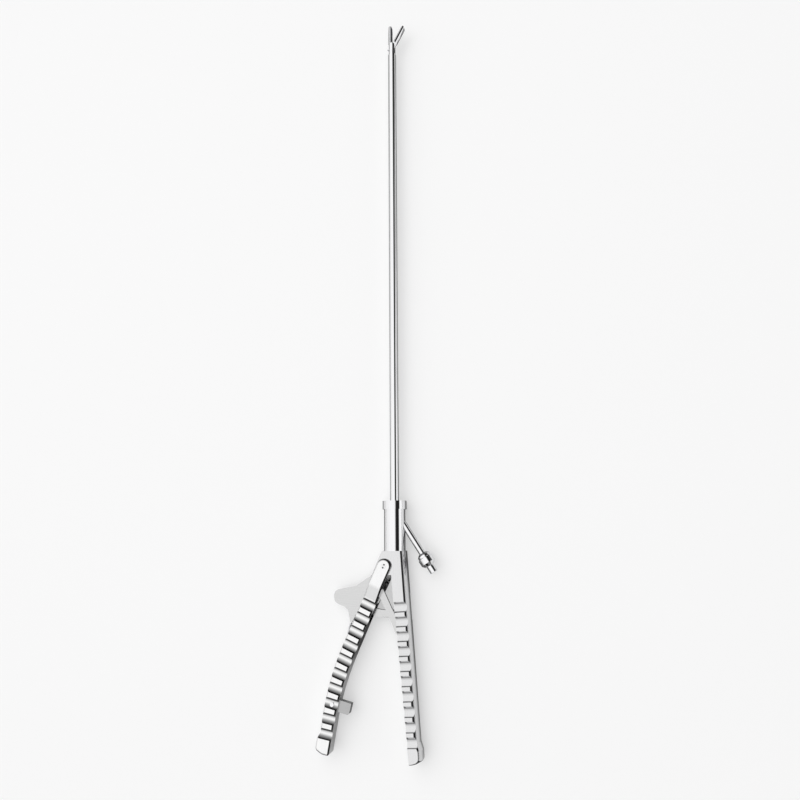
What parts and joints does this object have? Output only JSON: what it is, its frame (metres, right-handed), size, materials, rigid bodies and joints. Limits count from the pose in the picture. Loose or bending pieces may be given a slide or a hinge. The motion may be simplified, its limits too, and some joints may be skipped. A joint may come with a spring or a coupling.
{
  "type": "laparoscopic needle holder",
  "caption": "Long slim needle holder with a two-arm ratchet handle, a flushing port with cap, and a single moving jaw at the tip.",
  "frame": {"origin": "on the shaft's axis, where the shaft starts at the barrel's collar", "axes": "+Y along the shaft towards the jaws, +Z out of the handle's front face, +X towards the flushing port"},
  "size_m": [0.0685, 0.4429, 0.0154],
  "materials": {
    "polished_steel": "mirror polished stainless steel",
    "satin_steel": "satin stainless steel",
    "spring_steel": "spring steel",
    "carbide": "tungsten carbide with fine cross cut",
    "silicone": "silicone seal"
  },
  "bodies": {
    "frame": {"handle_frame": "polished_steel", "barrel": "polished_steel", "barrel_collar": "polished_steel", "shaft_bush": "polished_steel", "outer_tube": "polished_steel", "rod_seal": "silicone", "seal_retainer": "polished_steel", "flush_port_tube": "polished_steel", "luer_hub": "polished_steel", "return_spring": "spring_steel", "ratchet_catch": "satin_steel", "catch_screw": "polished_steel", "fixed_jaw": "polished_steel", "jaw_pivot_pin": "polished_steel", "fixed_jaw_insert": "carbide"},
    "moving_handle": {"moving_handle": "polished_steel", "pivot_screw": "polished_steel", "link_pin": "polished_steel", "lever_pin": "polished_steel", "stop_pin": "polished_steel", "stop_block": "satin_steel", "leaf_spring": "spring_steel"},
    "drive_link": {"drive_link": "satin_steel"},
    "pull_rod": {"pull_rod": "polished_steel", "rod_collar": "polished_steel", "rod_slider": "satin_steel", "slider_pin": "polished_steel", "jaw_drive_pin": "polished_steel"},
    "moving_jaw": {"moving_jaw": "polished_steel", "moving_jaw_insert": "carbide"},
    "release_lever": {"release_lever": "satin_steel"},
    "luer_cap": {"luer_cap": "polished_steel"}
  },
  "joints": [
    {"name": "handle_hinge", "type": "hinge", "parent": "frame", "child": "moving_handle", "pos_m": [-0.0047, -0.0362, 0], "axis": [0, 0, 1], "range_deg": [0, 22]},
    {"name": "link_hinge", "type": "hinge", "parent": "moving_handle", "child": "drive_link", "pos_m": [-0.00933, -0.04651, 0], "axis": [0, 0, 1], "range_deg": [-31.61, 0]},
    {"name": "rod_slide", "type": "slide", "parent": "frame", "child": "pull_rod", "axis": [0, -1, 0], "range_m": [0, 0.00264], "deforming": ["return_spring"]},
    {"name": "jaw_hinge", "type": "hinge", "parent": "frame", "child": "moving_jaw", "pos_m": [0.0013, 0.29, 0], "axis": [0, 0, 1], "range_deg": [0, 28.41]},
    {"name": "lever_hinge", "type": "hinge", "parent": "moving_handle", "child": "release_lever", "pos_m": [-0.01257, -0.05371, 0], "axis": [0, 0, 1], "range_deg": [-3, 3], "stiffness_Nm_per_rad": 0.6},
    {"name": "cap_pull", "type": "slide", "parent": "frame", "child": "luer_cap", "axis": [0.5446, -0.8387, 0], "range_m": [0, 0.012]}
  ],
  "couplings": [
    {"joint": "link_hinge", "follows": "handle_hinge", "ratio": -1.4364},
    {"joint": "rod_slide", "follows": "handle_hinge", "m_per_rad": 0.0068608},
    {"joint": "jaw_hinge", "follows": "handle_hinge", "ratio": 1.2909}
  ]
}
